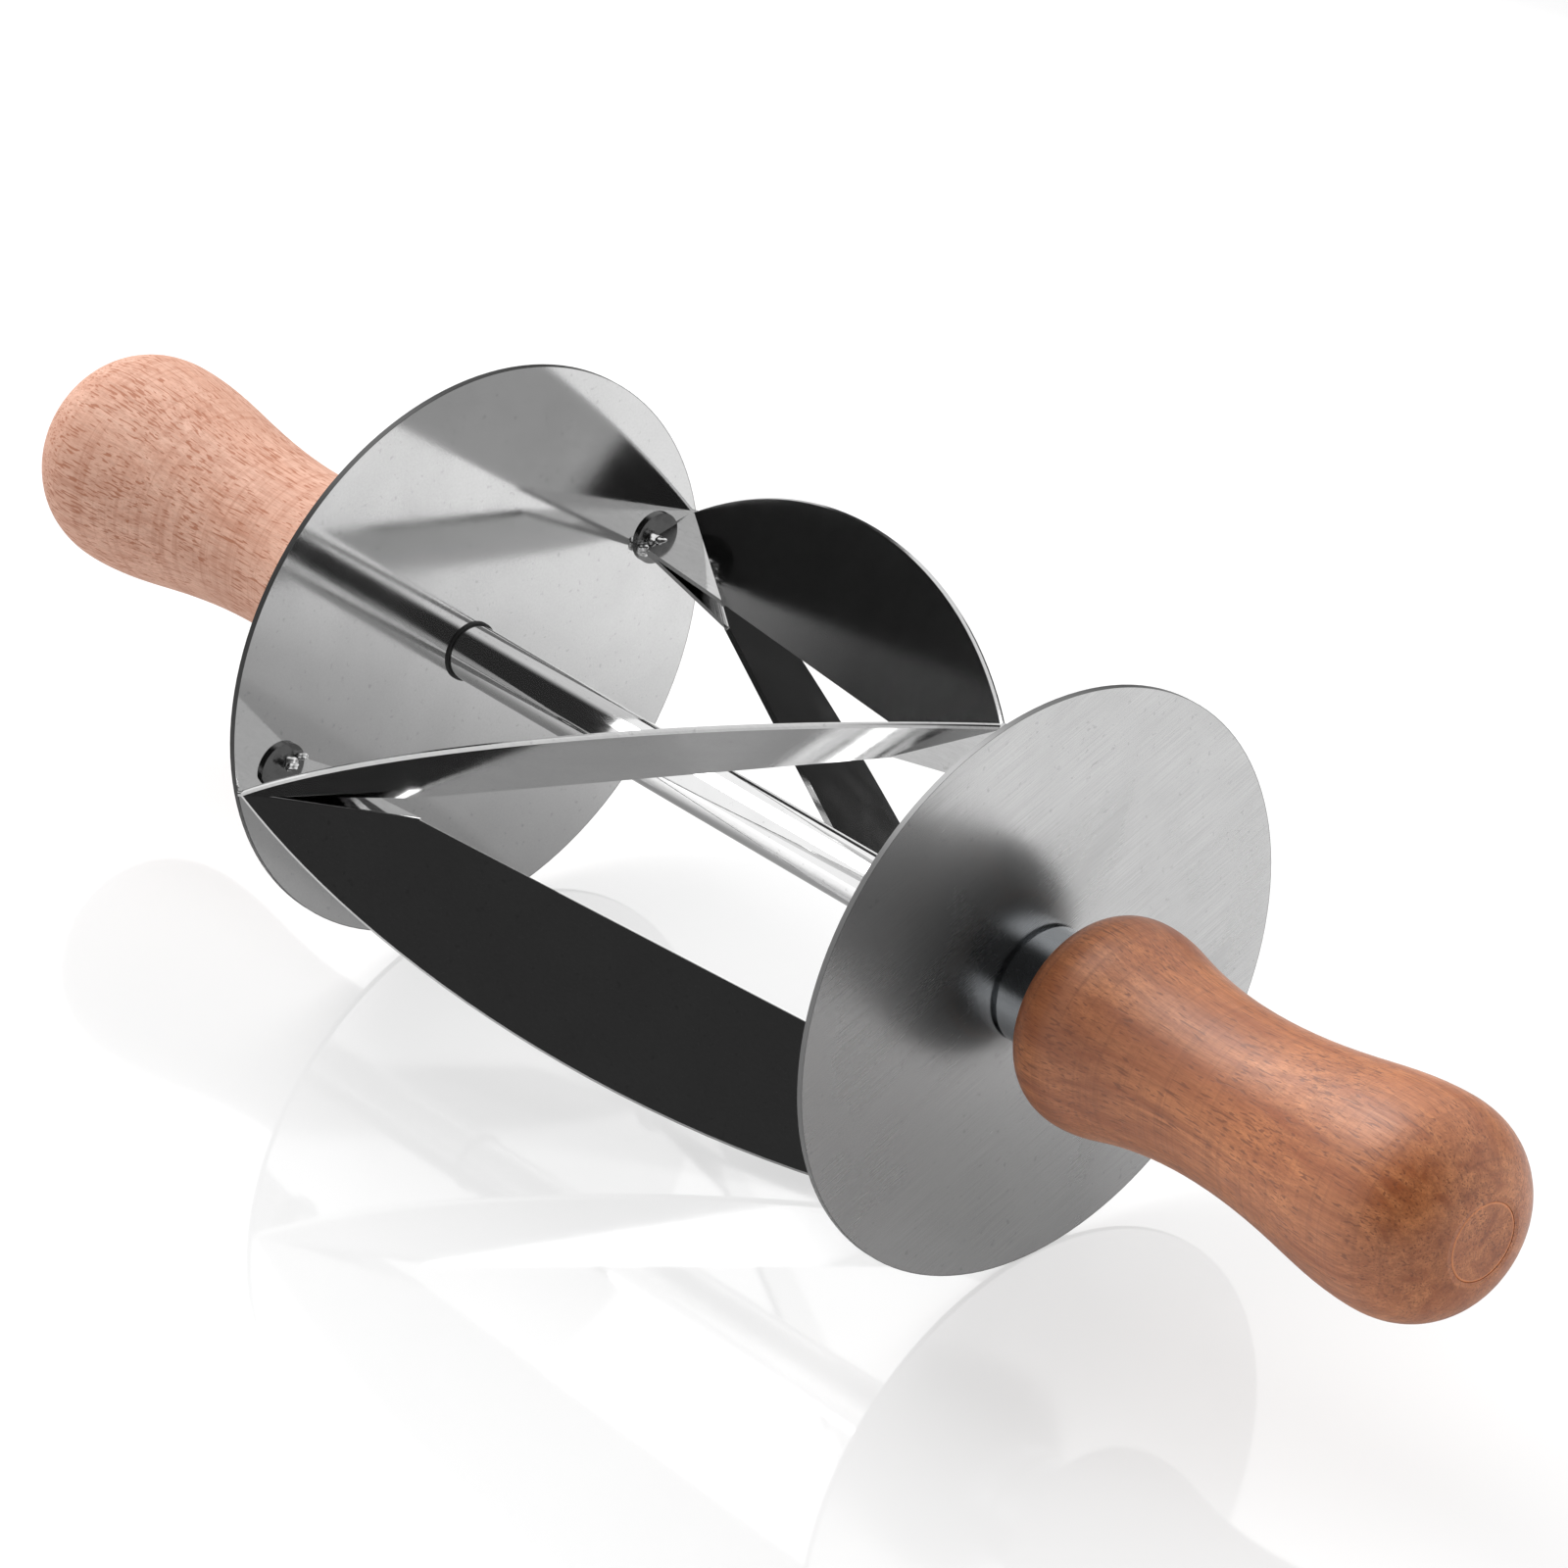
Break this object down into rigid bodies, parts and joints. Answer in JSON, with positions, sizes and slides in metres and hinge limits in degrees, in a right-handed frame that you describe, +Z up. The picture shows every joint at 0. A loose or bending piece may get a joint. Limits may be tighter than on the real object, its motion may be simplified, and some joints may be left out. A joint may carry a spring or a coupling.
{
  "type": "croissant cutter roller",
  "caption": "Hand roller that cuts triangles of dough: a cage of two discs and zigzag blades turning between two turned wooden handles.",
  "frame": {"origin": "the middle of the axle, halfway between the two discs", "axes": "+X along the axle, +Z up when the cutter stands on its discs"},
  "size_m": [0.3326, 0.1, 0.1],
  "materials": {
    "polished_steel": "mirror polished stainless steel",
    "satin_steel": "satin stainless steel",
    "zinc_steel": "zinc plated steel",
    "black_nylon": "matte black nylon",
    "beech": "satin lacquered beech"
  },
  "bodies": {
    "axle": {"axle_tube": "polished_steel", "tie_rod": "zinc_steel", "left_handle": "beech", "left_end_plug": "beech", "left_end_washer": "zinc_steel", "left_nut": "zinc_steel", "left_thrust_washer": "black_nylon", "right_handle": "beech", "right_end_plug": "beech", "right_end_washer": "zinc_steel", "right_nut": "zinc_steel", "right_thrust_washer": "black_nylon"},
    "cage": {"left_disc": "satin_steel", "left_collar": "polished_steel", "left_bush": "black_nylon", "left_weld_bosses": "polished_steel", "right_disc": "satin_steel", "right_collar": "polished_steel", "right_bush": "black_nylon", "right_weld_bosses": "polished_steel", "blade_1": "polished_steel", "blade_2": "polished_steel", "blade_3": "polished_steel", "blade_4": "polished_steel"}
  },
  "joints": [
    {"name": "cutter_spin", "type": "hinge", "parent": "axle", "child": "cage", "pos_m": [0, 0, 0], "axis": [1, 0, 0], "continuous": true}
  ]
}
